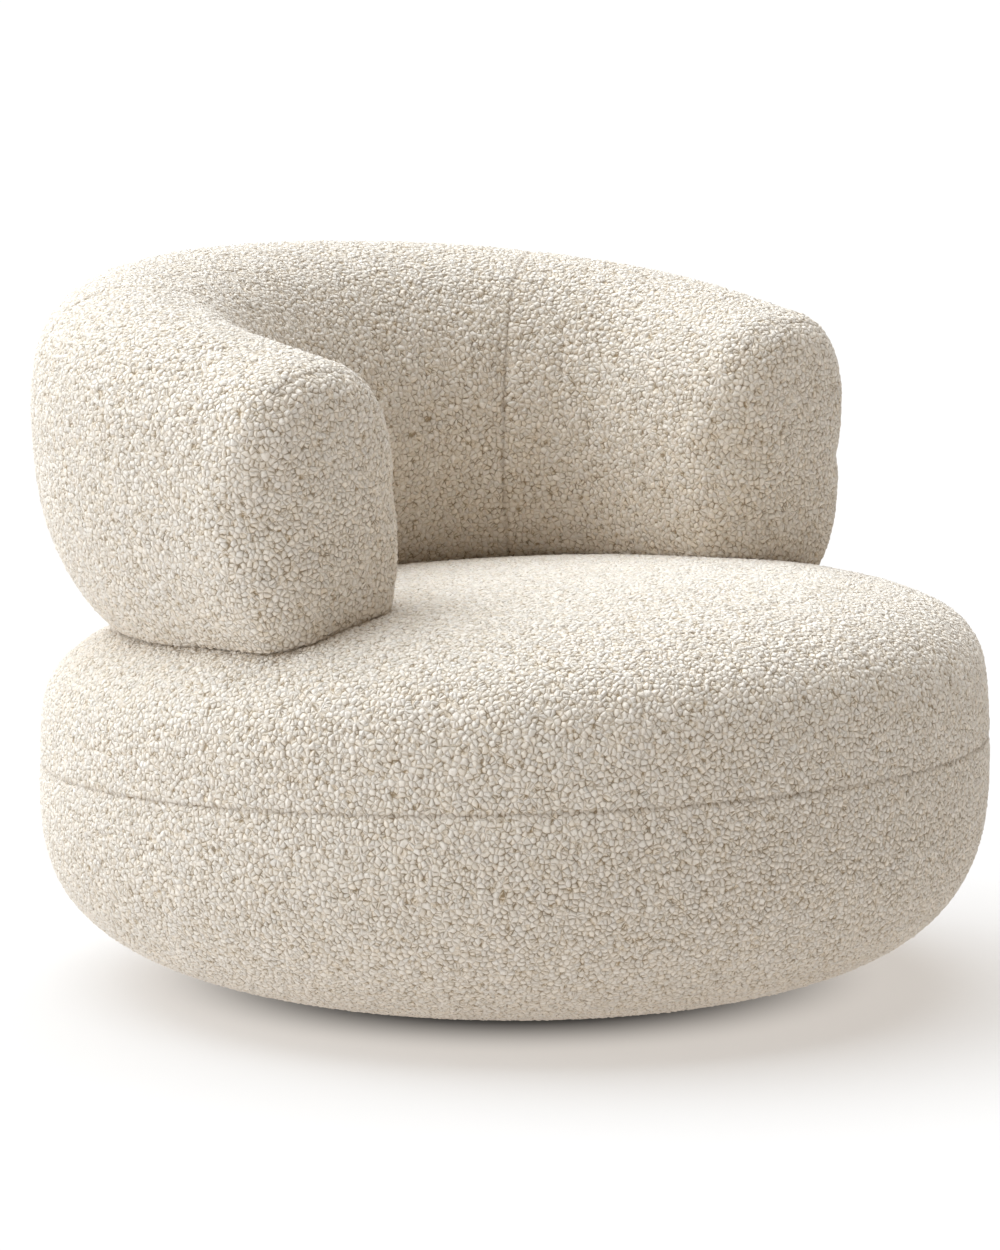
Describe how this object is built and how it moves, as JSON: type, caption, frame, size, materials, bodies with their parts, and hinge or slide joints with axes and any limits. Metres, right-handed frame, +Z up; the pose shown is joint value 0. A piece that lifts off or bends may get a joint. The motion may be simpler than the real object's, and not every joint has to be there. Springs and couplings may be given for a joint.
{
  "type": "upholstered swivel armchair",
  "caption": "Round lounge armchair in looped cream fabric: a cushioned round base that swivels on a hidden plinth, with a horseshoe padded back and arms.",
  "frame": {"origin": "On the floor at the centre of the plinth, on the swivel axis.", "axes": "+Z up; the open front of the seat faces -Y; the sitter's left is +X."},
  "size_m": [0.98, 0.9904, 0.735],
  "materials": {
    "bearing_steel": "polished",
    "boucle": "looped cream boucle",
    "cage_plastic": "moulded",
    "core_foam": "dense foam",
    "deck_cloth": "non-woven cloth",
    "dust_cloth": "non-woven cloth",
    "fastener_steel": "zinc plated",
    "glide_plastic": "moulded",
    "hardboard": "smooth pressed board",
    "plinth_lacquer": "black lacquered plywood",
    "plywood": "birch plywood",
    "webbing": "woven elastic webbing",
    "wrap_foam": "soft foam",
    "zinc_plate": "zinc plated"
  },
  "bodies": {
    "plinth": {"floor_glides": "glide_plastic", "plinth_disc": "plinth_lacquer", "plinth_screws": "fastener_steel", "swivel_lower_plate": "zinc_plate"},
    "ball_ring": {"bearing_balls": "bearing_steel", "ball_cage": "cage_plastic"},
    "chair": {"arm_end_cover_left": "boucle", "arm_end_cover_right": "boucle", "arm_end_foam_left": "wrap_foam", "arm_end_foam_right": "wrap_foam", "back_cover_centre": "boucle", "back_cover_left": "boucle", "back_cover_right": "boucle", "back_former_1": "plywood", "back_former_2": "plywood", "back_former_3": "plywood", "back_former_4": "plywood", "back_former_5": "plywood", "back_former_6": "plywood", "back_former_7": "plywood", "back_inner_foam": "wrap_foam", "back_inner_skin": "hardboard", "back_lower_rail": "plywood", "back_outer_foam": "wrap_foam", "back_outer_skin": "hardboard", "back_tie_nuts": "fastener_steel", "back_tie_rods": "fastener_steel", "back_tie_washers": "fastener_steel", "back_top_foam": "wrap_foam", "back_upper_rail": "plywood", "base_board": "plywood", "base_cover": "boucle", "base_rib_1": "plywood", "base_rib_2": "plywood", "base_rib_3": "plywood", "base_rib_4": "plywood", "base_rib_5": "plywood", "base_rib_6": "plywood", "base_side_foam": "wrap_foam", "deck_cloth": "deck_cloth", "deck_ring": "plywood", "dust_cover": "dust_cloth", "foot_ring": "plywood", "hub_block": "plywood", "seat_core_foam": "core_foam", "seat_cover": "boucle", "seat_topper_foam": "wrap_foam", "swivel_bolts": "fastener_steel", "swivel_tee_nuts": "fastener_steel", "swivel_upper_plate": "zinc_plate", "webbing_crosswise_1": "webbing", "webbing_crosswise_2": "webbing", "webbing_crosswise_3": "webbing", "webbing_crosswise_4": "webbing", "webbing_lengthwise_1": "webbing", "webbing_lengthwise_2": "webbing", "webbing_lengthwise_3": "webbing", "webbing_lengthwise_4": "webbing", "webbing_staples": "fastener_steel"}
  },
  "joints": [
    {"name": "seat_swivel", "type": "hinge", "parent": "plinth", "child": "chair", "pos_m": [0, 0, 0.026], "axis": [0, 0, 1], "continuous": true},
    {"name": "ball_ring_roll", "type": "hinge", "parent": "plinth", "child": "ball_ring", "pos_m": [0, 0, 0.026], "axis": [0, 0, 1], "continuous": true}
  ],
  "couplings": [
    {"joint": "ball_ring_roll", "follows": "seat_swivel", "ratio": 0.5}
  ]
}
